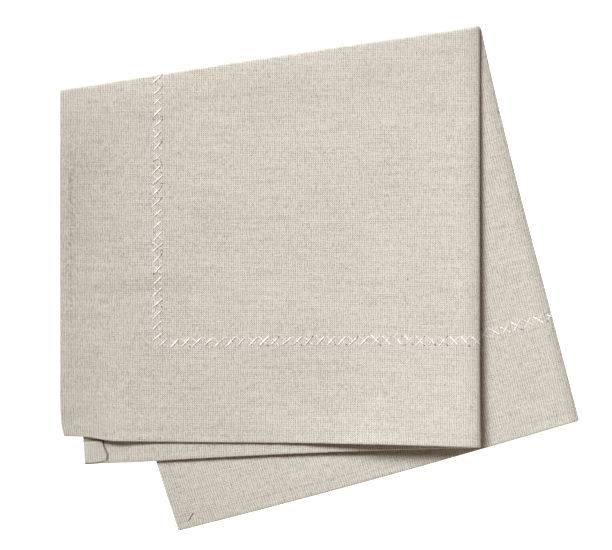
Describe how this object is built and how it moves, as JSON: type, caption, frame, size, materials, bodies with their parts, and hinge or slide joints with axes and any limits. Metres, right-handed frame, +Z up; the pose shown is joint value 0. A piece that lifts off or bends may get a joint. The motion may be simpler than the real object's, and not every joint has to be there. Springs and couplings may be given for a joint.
{
  "type": "folded cloth napkin",
  "caption": "Square linen table napkin with a narrow turned hem, folded in quarters and lying flat, its layers a little askew.",
  "frame": {"origin": "middle of the folded napkin's outline, on the surface that it lies on", "axes": "+Z up, out of the surface; +Y towards the second fold; +X towards the crease of the first fold"},
  "size_m": [0.2806, 0.2728, 0.0162],
  "materials": {
    "linen": "undyed plain-woven linen, matt",
    "embroidery_thread": "off-white cotton embroidery thread, soft lustre",
    "hem_thread": "matching sewing thread, matt"
  },
  "bodies": {
    "root": {"napkin_cloth": "linen"}
  },
  "joints": []
}
